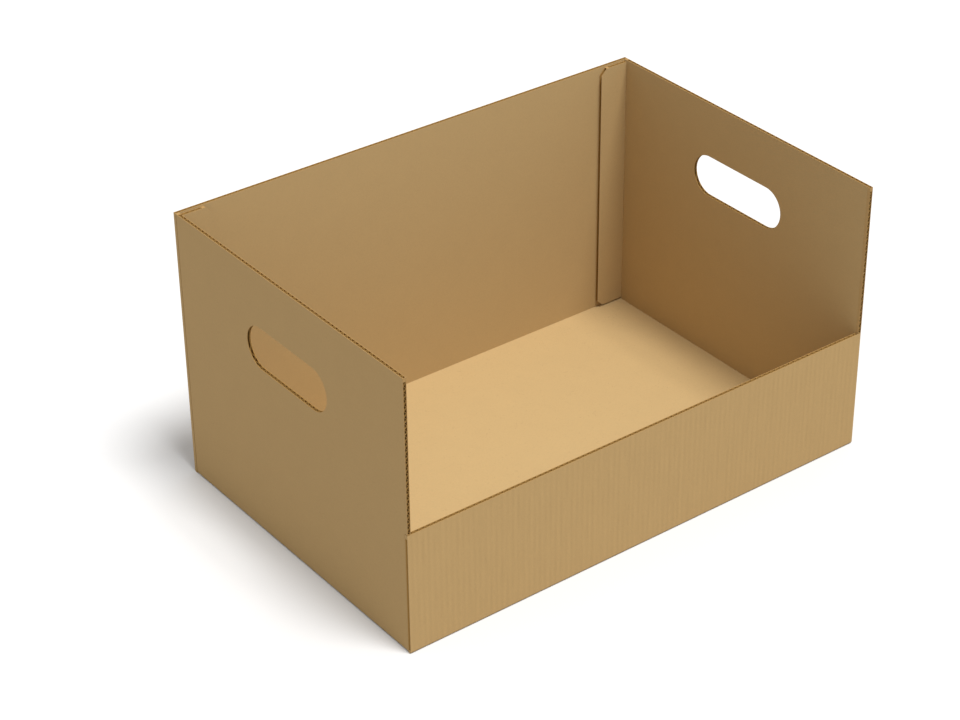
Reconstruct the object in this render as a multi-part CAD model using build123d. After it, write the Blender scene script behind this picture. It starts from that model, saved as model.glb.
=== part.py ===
from build123d import *
import os
from math import ceil

# Cardboard tray box: one die-cut sheet of corrugated board, folded up from its floor and glued at four corner tabs.
# Millimetres, +Z up, the low front wall towards -Y, origin at the middle of the underside.

# Outside of the box
width = 450.0
depth = 300.0
height = 240.0
front_height = 107.0

# Board and folds: a fold is rounded outside, the tabs' folds tighter, and creased sharp inside
board = 3.0
fold_radius = 2.0
tab_fold_radius = 1.0

# Corrugation: a wavy medium glued between two liners, open as far in as flute_depth where the board is cut
flute_pitch = 5.1
flute_depth = 3.0
liner = 0.4
medium = 0.4

# Hand holes in the side walls
hole_length = 106.0
hole_height = 37.0
hole_drop = 48.0

# Glue tabs on the ends of the side walls
tab_reach = 30.5
tab_chamfer = 5.5
back_tab_drop = 1.5
front_tab_drop = 5.0
tab_floor_gap = 1.5

# Cut line between a side wall's front edge and the end of the front wall's rim
rim_cut = 0.4

# Lengths that follow from the sizes above
room_width = width - 2 * board
room_depth = depth - 2 * board
side_middle = (width - board) / 2
end_middle = (depth - board) / 2
tab_middle = end_middle - board
tab_tip = width / 2 - tab_reach
tab_foot = board + tab_floor_gap
tab_tops = {-1: front_height - front_tab_drop, 1: height - back_tab_drop}
hole_middle = height - hole_drop - hole_height / 2
front_edge_foot = front_height + rim_cut
flute_gap = board - 2 * liner


def end_wall(toward, top):
    """Front (-1) or back (+1) wall over the full width, rounded along the fold at its foot."""
    section = Pos(toward * end_middle, top / 2) * Rectangle(board, top)
    foot = section.vertices().sort_by_distance((toward * depth / 2, 0))[0]
    section = fillet(foot, fold_radius)
    return extrude(Plane.YZ * section, width / 2, both=True)


def floor_with_sides():
    """Floor and both side walls as one trough between the end walls, with the tabs' folds at its four corners."""
    outside = Pos(0, height / 2) * Rectangle(width, height)
    outside = fillet(outside.vertices().group_by(Axis.Y)[0], fold_radius)
    inside = Pos(0, board + height / 2) * Rectangle(room_width, height)
    trough = extrude(Plane.XZ * (outside - inside), room_depth / 2, both=True)
    plan = extrude(RectangleRounded(width, room_depth, tab_fold_radius), height)
    return trough & plan


def front_edge(side):
    """Upper front edge of a side wall, brought forward past its fold to stand flush with the front wall."""
    reach = board + tab_fold_radius
    place = Pos(side * side_middle, (reach - depth) / 2, (front_edge_foot + height) / 2)
    return place * Box(board, reach, height - front_edge_foot)


def tab_plate(outline, thickness, side, toward):
    """Outline of a tab, or of air in it, made this thick and put where the tab lies."""
    plate = extrude(Plane.XZ * outline, thickness / 2, both=True)
    plate = Pos(0, toward * tab_middle) * plate
    return plate if side > 0 else mirror(plate, Plane.YZ)


def tab(side, toward):
    """Glue tab turned in from a side wall's end, flat on the inside of the front (-1) or back (+1) wall."""
    root = width / 2 - board
    top = tab_tops[toward]
    blank = Pos((root + tab_tip) / 2, (tab_foot + top) / 2) * Rectangle(root - tab_tip, top - tab_foot)
    blank = chamfer(blank.vertices().group_by(Axis.X)[0], tab_chamfer)
    return tab_plate(blank, board, side, toward)


def hand_hole(margin):
    """Round-ended outline of a hand hole, or of a margin round it, along X and up Z."""
    return Plane.XZ * SlotOverall(hole_length + 2 * margin, hole_height + 2 * margin)


def medium_sheet(waves, reach):
    """The wavy medium of the board: waves along X with their crests on the liners, reaching up and down Z."""
    half_wave = flute_pitch / 2
    half_thickness = medium / 2 * (1 + (flute_gap / half_wave) ** 2) ** 0.5
    crests = [(step * half_wave, (-1) ** step * flute_gap / 2) for step in range(-waves, waves + 1)]
    near = [(x, y - half_thickness) for x, y in crests]
    far = [(x, y + half_thickness) for x, y in crests]
    return extrude(make_face(Polyline(*near, *reversed(far), close=True)), reach, both=True)


def channel(length):
    """Air between the liners along a cut edge on X that runs with the flutes, the cut facing up Z."""
    return Box(length, flute_gap, 2 * flute_depth)


def flutes(length):
    """Air between the liners along a cut edge on X that runs across the flutes, the cut facing up Z."""
    waves = ceil(length / flute_pitch) + 1
    return channel(length) - medium_sheet(waves, flute_depth)


def hand_hole_flutes():
    """Air between the liners round a hand hole: flutes on its straight runs, a channel round each end."""
    groove = extrude(hand_hole(flute_depth), flute_gap / 2, both=True)
    waves = int((hole_length - hole_height) / flute_pitch)
    return groove - medium_sheet(waves, hole_height / 2 + flute_depth)


def tab_channel(side, toward):
    """Air between the liners round the free end of a tab: along its tip and both chamfers."""
    rows = []
    for inset in (-flute_depth, flute_depth):
        slant = inset / 2**0.5
        bend = tab_chamfer + inset * (2**0.5 - 1)
        corner = [(tab_tip + tab_chamfer + slant, slant), (tab_tip + inset, bend)]
        lower = [(x, tab_foot + z) for x, z in corner]
        upper = [(x, tab_tops[toward] - z) for x, z in reversed(corner)]
        rows.append(lower + upper)
    outer, inner = rows
    ring = make_face(Polyline(*outer, *reversed(inner), close=True))
    return tab_plate(ring, flute_gap, side, toward)


def open_edges():
    """Air in the board along the cut edges that show: rims, hand holes, front edges, tabs, front wall's ends."""
    yield Pos(0, -end_middle, front_height) * flutes(room_width - 2 * liner)
    yield Pos(0, end_middle, height) * flutes(width - 2 * liner)
    rim_front = liner - depth / 2
    rim_back = room_depth / 2 - board
    low = front_edge_foot + liner
    high = height - flute_depth - liner
    front_end_top = front_height - flute_depth - liner
    tab_inner = tab_tip + tab_chamfer + flute_depth
    tab_outer = room_width / 2 - liner
    for side in (-1, 1):
        end = (side * width / 2, -end_middle, (board + front_end_top) / 2)
        yield Plane(end, x_dir=(0, 0, 1), z_dir=(side, 0, 0)) * channel(front_end_top - board)
        wall = Pos(side * side_middle, 0, 0) * Rot(0, 0, 90)
        yield wall * Pos((rim_front + rim_back) / 2, 0, height) * flutes(rim_back - rim_front)
        yield wall * Pos(0, 0, hole_middle) * hand_hole_flutes()
        front = (side * side_middle, -depth / 2, (low + high) / 2)
        yield Plane(front, x_dir=(0, 0, 1), z_dir=(0, -1, 0)) * flutes(high - low)
        for toward, top in tab_tops.items():
            yield tab_channel(side, toward)
            place = Pos(side * (tab_inner + tab_outer) / 2, toward * tab_middle, top)
            yield place * flutes(tab_outer - tab_inner)


tray_box = floor_with_sides() + end_wall(-1, front_height) + end_wall(1, height)
for side in (-1, 1):
    tray_box += front_edge(side) + tab(side, -1) + tab(side, 1)
tray_box -= Pos(0, 0, hole_middle) * Rot(0, 0, 90) * extrude(hand_hole(0), width, both=True)
tray_box -= list(open_edges())

os.makedirs("parts", exist_ok=True)
export_step(tray_box, "parts/tray_box.step")
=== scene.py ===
from math import cos, pi, radians, sin

import bmesh
import bpy
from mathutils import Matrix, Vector


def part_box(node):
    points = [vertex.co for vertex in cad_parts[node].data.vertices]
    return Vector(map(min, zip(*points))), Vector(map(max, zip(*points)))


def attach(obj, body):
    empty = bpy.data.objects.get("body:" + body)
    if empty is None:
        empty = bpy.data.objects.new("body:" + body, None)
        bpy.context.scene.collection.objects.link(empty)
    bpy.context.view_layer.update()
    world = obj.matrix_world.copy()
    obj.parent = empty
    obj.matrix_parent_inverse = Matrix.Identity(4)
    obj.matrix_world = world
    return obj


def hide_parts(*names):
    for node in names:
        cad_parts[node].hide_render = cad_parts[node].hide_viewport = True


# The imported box, and the sizes of the folded sheet in metres
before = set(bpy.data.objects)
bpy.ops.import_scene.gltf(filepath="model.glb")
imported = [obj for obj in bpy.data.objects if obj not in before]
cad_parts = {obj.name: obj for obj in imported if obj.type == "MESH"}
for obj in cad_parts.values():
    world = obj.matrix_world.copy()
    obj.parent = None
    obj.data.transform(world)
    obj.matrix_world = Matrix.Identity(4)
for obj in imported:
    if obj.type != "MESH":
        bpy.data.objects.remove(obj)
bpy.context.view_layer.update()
low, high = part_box("tray_box")
width, depth, height = high - low
front_height = 0.107
board = 0.003
fold_radius = 0.002
tab_fold_radius = 0.001

# Corrugation of the board: two liners and the wavy medium between them
flute_pitch = 0.0051
flute_depth = 0.003
liner = 0.0004
medium = 0.0004

# Hand holes in the side walls
hole_length = 0.106
hole_height = 0.037
hole_drop = 0.048

# Glue tabs on the ends of the side walls
tab_reach = 0.0305
tab_chamfer = 0.0055
tab_floor_gap = 0.0015
back_tab_drop = 0.0015
front_tab_drop = 0.005

# Cut line under a side wall's front edge, and the wear that softens every cut edge
rim_cut = 0.0004
edge_wear = 0.00012

# Lengths that follow from the sizes above
room_width = width - 2 * board
room_depth = depth - 2 * board
side_middle = (width - board) / 2
end_middle = (depth - board) / 2
tab_middle = end_middle - board
tab_tip = width / 2 - tab_reach
tab_foot = board + tab_floor_gap
tab_tops = {-1: front_height - front_tab_drop, 1: height - back_tab_drop}
hole_middle = height - hole_drop - hole_height / 2
front_edge_foot = front_height + rim_cut
flute_gap = board - 2 * liner

# The two ends of the open stretch of each cut edge
front_rim_ends = (liner - room_width / 2, room_width / 2 - liner)
back_rim_ends = (liner - width / 2, width / 2 - liner)
side_rim_ends = (liner - depth / 2, room_depth / 2 - board)
front_edge_ends = (front_edge_foot + liner, height - flute_depth - liner)
front_wall_ends = (board, front_height - flute_depth - liner)
tab_top_ends = (tab_tip + tab_chamfer + flute_depth, room_width / 2 - liner)

# Front and back rim: where each lies, how high, and where it is open
end_rims = ((-end_middle, front_height, front_rim_ends), (end_middle, height, back_rim_ends))

# Browns of the paper: the liner outside, the liner inside, cut edges, backs of the liners, and the medium
outside_brown = (0.47, 0.306, 0.130, 1)
inside_brown = (0.485, 0.336, 0.157, 1)
cut_brown = (0.39, 0.235, 0.088, 1)
back_brown = (0.40, 0.225, 0.065, 1)
medium_brown = (0.27, 0.152, 0.043, 1)

# White of the floor as the camera sees it, and as it throws light back at the box
seen_white = (0.72, 0.72, 0.72, 1)
thrown_white = (0.5, 0.5, 0.5, 1)

# Straight steps that stand for a hand hole's round end, and for one wave of the medium
hole_steps = 40
wave_steps = 12

# Axes, by the index of their coordinate
X, Y, Z = range(3)


class Value:
    """A node socket that joins other sockets and numbers by Python operators."""

    def __init__(self, graph, socket):
        self.graph = graph
        self.socket = socket

    def join(self, operation, *operands):
        kind = "ShaderNodeVectorMath" if self.socket.type == "VECTOR" else "ShaderNodeMath"
        return self.graph.node(kind, {"operation": operation}, dict(enumerate(operands)))

    def __add__(self, other):
        return self.join("ADD", self, other)

    def __sub__(self, other):
        return self.join("SUBTRACT", self, other)

    def __mul__(self, other):
        return self.join("MULTIPLY", self, other)

    def __lt__(self, other):
        return self.join("LESS_THAN", self, other)

    def __gt__(self, other):
        return self.join("GREATER_THAN", self, other)


class Graph:
    """A node tree whose nodes come from one method."""

    def __init__(self, tree):
        self.tree = tree

    def node(self, kind, settings=None, sockets=None, output=0):
        """Add a node, its settings first, then the values or links of its sockets, and give one output."""
        node = self.tree.nodes.new(kind)
        for name, value in (settings or {}).items():
            setattr(node, name, value)
        for key, value in (sockets or {}).items():
            shown = [socket for socket in node.inputs if socket.enabled]
            socket = shown[key] if isinstance(key, int) else next(s for s in shown if s.name == key)
            if isinstance(value, Value):
                self.tree.links.new(value.socket, socket)
            else:
                socket.default_value = value
        given = [socket for socket in node.outputs if socket.enabled]
        if not given:
            return None
        return Value(self, given[output] if isinstance(output, int) else node.outputs[output])


def new_finish(name):
    """An empty material and the graph of its nodes."""
    material = bpy.data.materials.new(name)
    material.use_nodes = True
    material.node_tree.nodes.clear()
    return material, Graph(material.node_tree)


def noise(graph, place, features, detail=2.0, roughness=0.5, distortion=0.0):
    """Smooth noise about zero, with so many features to the metre along each axis."""
    texture = graph.node(
        "ShaderNodeTexNoise",
        sockets={
            "Vector": place * features,
            "Scale": 1.0,
            "Detail": detail,
            "Roughness": roughness,
            "Distortion": distortion,
        },
    )
    return texture - 0.5


def blend(graph, factor, first, second, kind="MIX"):
    """Two colours in one."""
    settings = {"data_type": "RGBA", "blend_type": kind}
    return graph.node("ShaderNodeMix", settings, {0: factor, 1: first, 2: second})


def kraft_finish():
    """Matt kraft paper with fibres, paler inside, with flutes that show through in front and behind."""
    material, graph = new_finish("kraft_paper")
    place = graph.node("ShaderNodeTexCoord", output="Object")
    x, y, z = [graph.node("ShaderNodeSeparateXYZ", sockets={0: place}, output=axis) for axis in (X, Y, Z)]
    facing = graph.node("ShaderNodeTexCoord", output="Normal")
    upward = graph.node("ShaderNodeSeparateXYZ", sockets={0: facing}, output=Z)

    # Where each paper shows
    aside = x.join("ABSOLUTE", x)
    away = y.join("ABSOLUTE", y)
    within_walls = (aside < room_width / 2 + edge_wear) * (away < room_depth / 2 + edge_wear)
    inside = within_walls * (z > board - edge_wear)
    at_ends = away > depth / 2 - edge_wear
    upper_cuts = (upward > 0.5) * (z > 2 * board)
    front_cuts = (y < edge_wear - depth / 2) * (z > front_edge_foot)

    # Flutes that show through the liner, and the paper's own clouds, fibres and dark hairs
    per_flute = 1 / flute_pitch
    turns = x * (2 * pi * per_flute)
    unevenness = noise(graph, place, (0.5 * per_flute, 0, 40), detail=4.0, roughness=0.7)
    ridge = turns.join("COSINE", turns) * (unevenness * 5.0 + 0.7)
    smears = noise(graph, place, (1.2 * per_flute, 0, 20), detail=4.0, roughness=0.75)
    streaks = ridge * 0.4 + smears * 2.4
    mottle = noise(graph, place, (45, 45, 45), detail=4.0, roughness=0.6)
    fibres = noise(graph, place, (900, 900, 900), detail=4.0, roughness=0.65, distortion=1.5)
    strands = noise(graph, place, (260, 260, 1900), detail=3.0, roughness=0.6, distortion=2.5)
    hairs = strands.join("MAXIMUM", strands - 0.1, 0.0)

    # How much each lightens or darkens the paper, and how far each stands out, in metres
    shade = fibres * 0.22 - hairs * 0.9 + mottle * 0.05 + streaks * at_ends * 0.06 + 1.01
    relief = ridge * at_ends * 3.5e-5 + fibres * 1.5e-5 + hairs * 6e-5

    liners = blend(graph, inside, outside_brown, inside_brown)
    paper = blend(graph, upper_cuts + front_cuts, liners, cut_brown)
    colour = blend(graph, 1.0, paper, shade, "MULTIPLY")
    normal = graph.node("ShaderNodeBump", sockets={"Strength": 1.0, "Distance": 1.0, "Height": relief})
    shader = graph.node(
        "ShaderNodeBsdfPrincipled",
        sockets={
            "Base Color": colour,
            "Roughness": fibres * 0.2 + 0.85,
            "Specular IOR Level": 0.2,
            "Normal": normal,
        },
    )
    graph.node("ShaderNodeOutputMaterial", sockets={"Surface": shader})
    return material


def raw_finish(name, brown):
    """Raw brown paper inside the board, seen at its cut edges."""
    material, graph = new_finish(name)
    place = graph.node("ShaderNodeTexCoord", output="Object")
    fibres = noise(graph, place, (1400, 1400, 1400), detail=3.0, roughness=0.6)
    colour = blend(graph, 1.0, brown, fibres * 0.4 + 1.0, "MULTIPLY")
    shader = graph.node(
        "ShaderNodeBsdfPrincipled",
        sockets={"Base Color": colour, "Roughness": 0.95, "Specular IOR Level": 0.1},
    )
    graph.node("ShaderNodeOutputMaterial", sockets={"Surface": shader})
    return material


def floor_finish():
    """Plain white floor that keeps the shadow, and throws less light at the box than the camera sees."""
    material, graph = new_finish("white_floor")
    outputs = ("Is Camera Ray", "Is Glossy Ray", "Is Transmission Ray")
    direct, mirrored, through = [graph.node("ShaderNodeLightPath", output=name) for name in outputs]
    colour = blend(graph, direct + mirrored + through, thrown_white, seen_white)
    paint = graph.node("ShaderNodeBsdfDiffuse", sockets={"Color": colour})
    graph.node("ShaderNodeOutputMaterial", sockets={"Surface": paint})
    return material


def add_object(name, data):
    """An object of this data, in the scene."""
    piece = bpy.data.objects.new(name, data)
    bpy.context.scene.collection.objects.link(piece)
    return piece


def settle(piece):
    """Turn what the modifiers make into the piece's own plain mesh."""
    graph = bpy.context.evaluated_depsgraph_get()
    mesh = bpy.data.meshes.new_from_object(piece.evaluated_get(graph))
    piece.modifiers.clear()
    piece.data = mesh
    mesh.name = piece.name
    return piece


def arc(middle, radius, start, turn, steps=12):
    """Points on an arc about middle, from the angle start through turn, both in degrees."""
    angles = [radians(start + turn * step / steps) for step in range(steps + 1)]
    return [(middle[0] + radius * cos(angle), middle[1] + radius * sin(angle)) for angle in angles]


def solid(name, material, *prisms):
    """One object of prisms that stay clear of each other, each an outline, its axis and its two ends."""
    shape = bmesh.new()
    for outline, axis, start, end in prisms:
        rings = []
        for end_place in (start, end):
            ring = []
            for point in outline:
                corner = list(point)
                corner.insert(axis, end_place)
                ring.append(shape.verts.new(corner))
            shape.faces.new(ring)
            rings.append(ring)
        near, far = rings
        for index in range(len(outline)):
            shape.faces.new((near[index - 1], near[index], far[index], far[index - 1]))
    bmesh.ops.recalc_face_normals(shape, faces=shape.faces)
    mesh = bpy.data.meshes.new(name)
    shape.to_mesh(mesh)
    shape.free()
    mesh.materials.append(material)
    return add_object(name, mesh)


def block(lowest, highest):
    """A box between two corners, as a prism along Z."""
    (west, south, bottom), (east, north, top) = lowest, highest
    return [(west, south), (east, south), (east, north), (west, north)], Z, bottom, top


def band(middle, half_size):
    """The two ends of a span, from its middle."""
    return middle - half_size, middle + half_size


def trough_outline():
    """Floor and side walls across the box, rounded along the folds."""
    half = width / 2
    inside = room_width / 2
    left_fold = arc((fold_radius - half, fold_radius), fold_radius, 180, 90)
    right_fold = arc((half - fold_radius, fold_radius), fold_radius, 270, 90)
    outside = [(-half, height), *left_fold, *right_fold, (half, height)]
    return outside + [(inside, height), (inside, board), (-inside, board), (-inside, height)]


def plan_outline():
    """Floor and side walls from above, rounded where the tabs fold in."""
    across = width / 2 - tab_fold_radius
    along = room_depth / 2 - tab_fold_radius
    middles = ((across, along), (-across, along), (-across, -along), (across, -along))
    outline = []
    for quarter, middle in enumerate(middles):
        outline += arc(middle, tab_fold_radius, 90 * quarter, 90)
    return outline


def end_wall_outline(toward, top):
    """Front (-1) or back (+1) wall from the side, rounded along the fold at its foot."""
    outer = depth / 2
    fold = arc((outer - fold_radius, fold_radius), fold_radius, 270, 90)
    outline = [(outer - board, 0), *fold, (outer, top), (outer - board, top)]
    return [(toward * y, z) for y, z in outline]


def tab_outline(side, top):
    """Glue tab with its two chamfered corners, from the front."""
    root = room_width / 2
    slope = tab_tip + tab_chamfer
    outline = [(root, tab_foot), (slope, tab_foot), (tab_tip, tab_foot + tab_chamfer)]
    outline += [(tab_tip, top - tab_chamfer), (slope, top), (root, top)]
    return [(side * x, z) for x, z in outline]


def hole_outline(margin):
    """Round-ended hand hole, or a margin round it, from the side."""
    half_run = (hole_length - hole_height) / 2
    radius = hole_height / 2 + margin
    back_end = arc((half_run, hole_middle), radius, -90, 180, hole_steps)
    return back_end + arc((-half_run, hole_middle), radius, 90, 180, hole_steps)


def tab_channel_outline(side, top):
    """Groove round the free end of a tab, along its tip and both chamfers, from the front."""
    rows = []
    for inset in (-flute_depth, flute_depth):
        slant = inset / 2**0.5
        bend = tab_chamfer + inset * (2**0.5 - 1)
        corner = [(tab_tip + tab_chamfer + slant, slant), (tab_tip + inset, bend)]
        lower = [(x, tab_foot + z) for x, z in corner]
        upper = [(x, top - z) for x, z in reversed(corner)]
        rows.append(lower + upper)
    outer, inner = rows
    return [(side * x, z) for x, z in outer + inner[::-1]]


def channels():
    """Grooves between the liners along every cut edge that shows."""
    half_gap = flute_gap / 2
    for y, top, (west, east) in end_rims:
        south, north = band(y, half_gap)
        yield block((west, south, top - flute_depth), (east, north, top + flute_depth))
    for side in (-1, 1):
        west, east = band(side * side_middle, half_gap)
        south, north = side_rim_ends
        yield block((west, south, height - flute_depth), (east, north, height + flute_depth))
        south, north = band(-depth / 2, flute_depth)
        bottom, top = front_edge_ends
        yield block((west, south, bottom), (east, north, top))
        yield hole_outline(flute_depth), X, west, east
        west, east = band(side * width / 2, flute_depth)
        south, north = band(-end_middle, half_gap)
        bottom, top = front_wall_ends
        yield block((west, south, bottom), (east, north, top))
        west, east = sorted(side * end for end in tab_top_ends)
        for toward, top in tab_tops.items():
            south, north = band(toward * tab_middle, half_gap)
            yield tab_channel_outline(side, top), Y, south, north
            yield block((west, south, top - flute_depth), (east, north, top + flute_depth))


def soften_cut_edges(piece):
    """Round off the sharp outward edges a little, as worn paper is."""
    same_place = 1e-6
    same_plane = radians(0.5)
    sharp_angle = radians(40)
    shape = bmesh.new()
    shape.from_mesh(piece.data)
    bmesh.ops.remove_doubles(shape, verts=shape.verts, dist=same_place)
    bmesh.ops.dissolve_limit(
        shape,
        angle_limit=same_plane,
        verts=shape.verts,
        edges=shape.edges,
        delimit={"MATERIAL"},
    )
    joined = [edge for edge in shape.edges if edge.is_manifold]
    bmesh.ops.bevel(
        shape,
        geom=[edge for edge in joined if edge.calc_face_angle_signed() > sharp_angle],
        offset=edge_wear,
        segments=2,
        profile=0.5,
        affect="EDGES",
        clamp_overlap=True,
    )
    shape.to_mesh(piece.data)
    shape.free()


def folded_board(kraft, inner):
    """The sheet, folded up and glued, with an open groove along its cut edges."""
    half = width / 2
    piece = solid("folded_board", kraft, (trough_outline(), Y, -room_depth / 2, room_depth / 2))
    front_edges = []
    tabs = []
    for side in (-1, 1):
        west, east = band(side * side_middle, board / 2)
        behind_fold = board + tab_fold_radius - depth / 2
        front_edges.append(block((west, -depth / 2, front_edge_foot), (east, behind_fold, height)))
        for toward, top in tab_tops.items():
            tabs.append((tab_outline(side, top), Y, *band(toward * tab_middle, board / 2)))
    steps = (
        ("INTERSECT", solid("plan", kraft, (plan_outline(), Z, 0, height))),
        ("UNION", solid("front_wall", kraft, (end_wall_outline(-1, front_height), X, -half, half))),
        ("UNION", solid("back_wall", kraft, (end_wall_outline(1, height), X, -half, half))),
        ("UNION", solid("front_edges", kraft, *front_edges)),
        ("UNION", solid("tabs", kraft, *tabs)),
        ("DIFFERENCE", solid("hand_holes", inner, (hole_outline(0), X, -width, width))),
        ("DIFFERENCE", solid("channels", inner, *channels())),
    )
    for operation, tool in steps:
        change = piece.modifiers.new(tool.name, "BOOLEAN")
        change.operation = operation
        change.solver = "EXACT"
        change.material_mode = "TRANSFER"
        change.object = tool
    settle(piece)
    for operation, tool in steps:
        bpy.data.objects.remove(tool)
    soften_cut_edges(piece)
    return piece


def cut_edge_paths():
    """Middle line of each cut edge that shows flutes, as a row of points.

    With it come the axis of its waves, the way through the board, and at each point the way out of the cut.
    """
    through_end = (0, 1, 0)
    through_side = (1, 0, 0)
    up = (0, 0, 1)
    forward = (0, -1, 0)
    for y, top, ends in end_rims:
        yield [(x, y, top) for x in ends], X, through_end, [up, up]
    for side in (-1, 1):
        x = side * side_middle
        yield [(x, y, height) for y in side_rim_ends], Y, through_side, [up, up]
        yield [(x, -depth / 2, z) for z in front_edge_ends], Z, through_side, [forward, forward]
        # From an outline one metre further out, each point steps inwards by one
        hole = hole_outline(0)
        metre_out = hole_outline(1)
        inwards = [(0, y - far_y, z - far_z) for (y, z), (far_y, far_z) in zip(hole, metre_out)]
        yield [(x, y, z) for y, z in hole], Y, through_side, inwards
        for toward, top in tab_tops.items():
            tab_top = [(side * end, toward * tab_middle, top) for end in tab_top_ends]
            yield tab_top, X, through_end, [up, up]


def flute_lines():
    """The paths as a mesh of edges, with what the flutes need to know at each point."""
    points = []
    edges = []
    facts = {"along": [], "across": [], "mouth": []}
    for path, wave_axis, across, mouths in cut_edge_paths():
        first = len(points)
        points += path
        edges += [(first + index, first + index + 1) for index in range(len(path) - 1)]
        # A hand hole's path, the only kind with more than two points, closes on itself
        if len(path) > 2:
            edges.append((first + len(path) - 1, first))
        facts["along"] += [point[wave_axis] for point in path]
        facts["across"] += [across] * len(path)
        facts["mouth"] += mouths
    mesh = bpy.data.meshes.new("flute_medium")
    mesh.from_pydata(points, edges, [])
    mesh.attributes.new("along", "FLOAT", "POINT").data.foreach_set("value", facts["along"])
    for name in ("across", "mouth"):
        flat = [number for vector in facts[name] for number in vector]
        mesh.attributes.new(name, "FLOAT_VECTOR", "POINT").data.foreach_set("vector", flat)
    return mesh


def flute_tree(material):
    """Geometry nodes that stand a wavy strip of paper along each path, flush with the cut."""
    tree = bpy.data.node_groups.new("flute_medium", "GeometryNodeTree")
    tree.interface.new_socket("Geometry", in_out="INPUT", socket_type="NodeSocketGeometry")
    tree.interface.new_socket("Geometry", in_out="OUTPUT", socket_type="NodeSocketGeometry")
    for name in ("Pitch", "Swing", "Paper", "Reach", "Step"):
        tree.interface.new_socket(name, in_out="INPUT", socket_type="NodeSocketFloat")
    graph = Graph(tree)
    source = tree.nodes.new("NodeGroupInput")
    given = {socket.name: Value(graph, socket) for socket in source.outputs}

    def fact(name, kind):
        settings = {"data_type": kind}
        return graph.node("GeometryNodeInputNamedAttribute", settings, {"Name": name}, "Attribute")

    along = fact("along", "FLOAT")
    across = fact("across", "FLOAT_VECTOR")
    mouth = fact("mouth", "FLOAT_VECTOR")
    line = graph.node("GeometryNodeMeshToCurve", sockets={"Mesh": given["Geometry"]})
    line = graph.node(
        "GeometryNodeResampleCurve",
        {"mode": "LENGTH"},
        {"Curve": line, "Length": given["Step"]},
    )
    turns = along.join("DIVIDE", along, given["Pitch"]) * (2 * pi)
    wave = turns.join("SINE", turns) * given["Swing"]
    offset = across * wave - mouth * (given["Reach"] * 0.5)
    line = graph.node("GeometryNodeSetPosition", sockets={"Geometry": line, "Offset": offset})
    line = graph.node("GeometryNodeSetCurveNormal", {"mode": "FREE"}, {"Curve": line, "Normal": mouth})
    section = graph.node(
        "GeometryNodeCurvePrimitiveQuadrilateral",
        sockets={"Width": given["Reach"], "Height": given["Paper"]},
    )
    strip = graph.node(
        "GeometryNodeCurveToMesh",
        sockets={"Curve": line, "Profile Curve": section, "Fill Caps": True},
    )
    strip = graph.node("GeometryNodeRealizeInstances", sockets={"Geometry": strip})
    strip = graph.node("GeometryNodeSetMaterial", sockets={"Geometry": strip, "Material": material})
    graph.node("NodeGroupOutput", sockets={"Geometry": strip})
    return tree


def flute_medium(paper):
    """The wavy medium between the liners, at every cut edge that shows it."""
    piece = add_object("flute_medium", flute_lines())
    tree = flute_tree(paper)
    grow = piece.modifiers.new("flutes", "NODES")
    grow.node_group = tree
    values = {
        "Pitch": flute_pitch,
        "Swing": (flute_gap - medium) / 2,
        "Paper": medium,
        "Reach": flute_depth,
        "Step": flute_pitch / wave_steps,
    }
    for item in tree.interface.items_tree:
        if item.name in values:
            grow[item.identifier] = values[item.name]
    return settle(piece)


def last_flanks(paper):
    """The flank of the last flute at each cut end of the front wall, which closes the groove there."""
    thickness = 2 * medium
    south, north = band(-end_middle, flute_gap / 2)
    bottom, top = front_wall_ends
    sheets = []
    for side in (-1, 1):
        mouth = side * width / 2
        deep = mouth - side * (flute_depth - thickness)
        behind = side * thickness
        outline = [(mouth, north), (deep, south), (deep - behind, south), (mouth - behind, north)]
        sheets.append((outline, Z, bottom, top))
    return solid("last_flanks", paper, *sheets)


def lay_floor():
    """A wide plain floor at the underside of the box."""
    reach = 20.0
    corners = [(-reach, -reach, 0), (reach, -reach, 0), (reach, reach, 0), (-reach, reach, 0)]
    mesh = bpy.data.meshes.new("floor")
    mesh.from_pydata(corners, [], [(0, 1, 2, 3)])
    mesh.materials.append(floor_finish())
    floor = add_object("floor", mesh)
    floor.location.z = low.z


def light_scene():
    """A soft key from above, in front and to the right, under an even white sky."""
    key = bpy.data.lights.new("key", "SUN")
    key.energy = 3.22
    key.angle = radians(20)
    lamp = add_object("key", key)
    toward_light = Vector((0.085, -0.325, 1.0))
    lamp.rotation_euler = toward_light.to_track_quat("Z", "Y").to_euler()
    world = bpy.data.worlds.new("sky")
    world.use_nodes = True
    sky = world.node_tree.nodes["Background"]
    sky.inputs["Color"].default_value = (1, 1, 1, 1)
    sky.inputs["Strength"].default_value = 0.565
    bpy.context.scene.world = world


def aim_camera():
    """The photograph's view: a long lens, from in front, to the left and above."""
    data = bpy.data.cameras.new("view")
    data.sensor_width = 36
    data.lens = 93.36
    data.shift_x = -0.0441
    data.shift_y = -0.0082
    camera = add_object("view", data)
    camera.location = (-1.04343, -1.33035, 1.15521)
    backward = Vector((-0.5225, -0.6687, 0.5289))
    camera.rotation_euler = backward.to_track_quat("Z", "Y").to_euler()
    bpy.context.scene.camera = camera


liner_back = raw_finish("liner_back", back_brown)
medium_paper = raw_finish("medium_paper", medium_brown)
sheet = folded_board(kraft_finish(), liner_back)
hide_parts("tray_box")
for piece in (sheet, flute_medium(medium_paper), last_flanks(liner_back)):
    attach(piece, "root")
lay_floor()
light_scene()
aim_camera()
bpy.context.scene.view_settings.view_transform = "Standard"
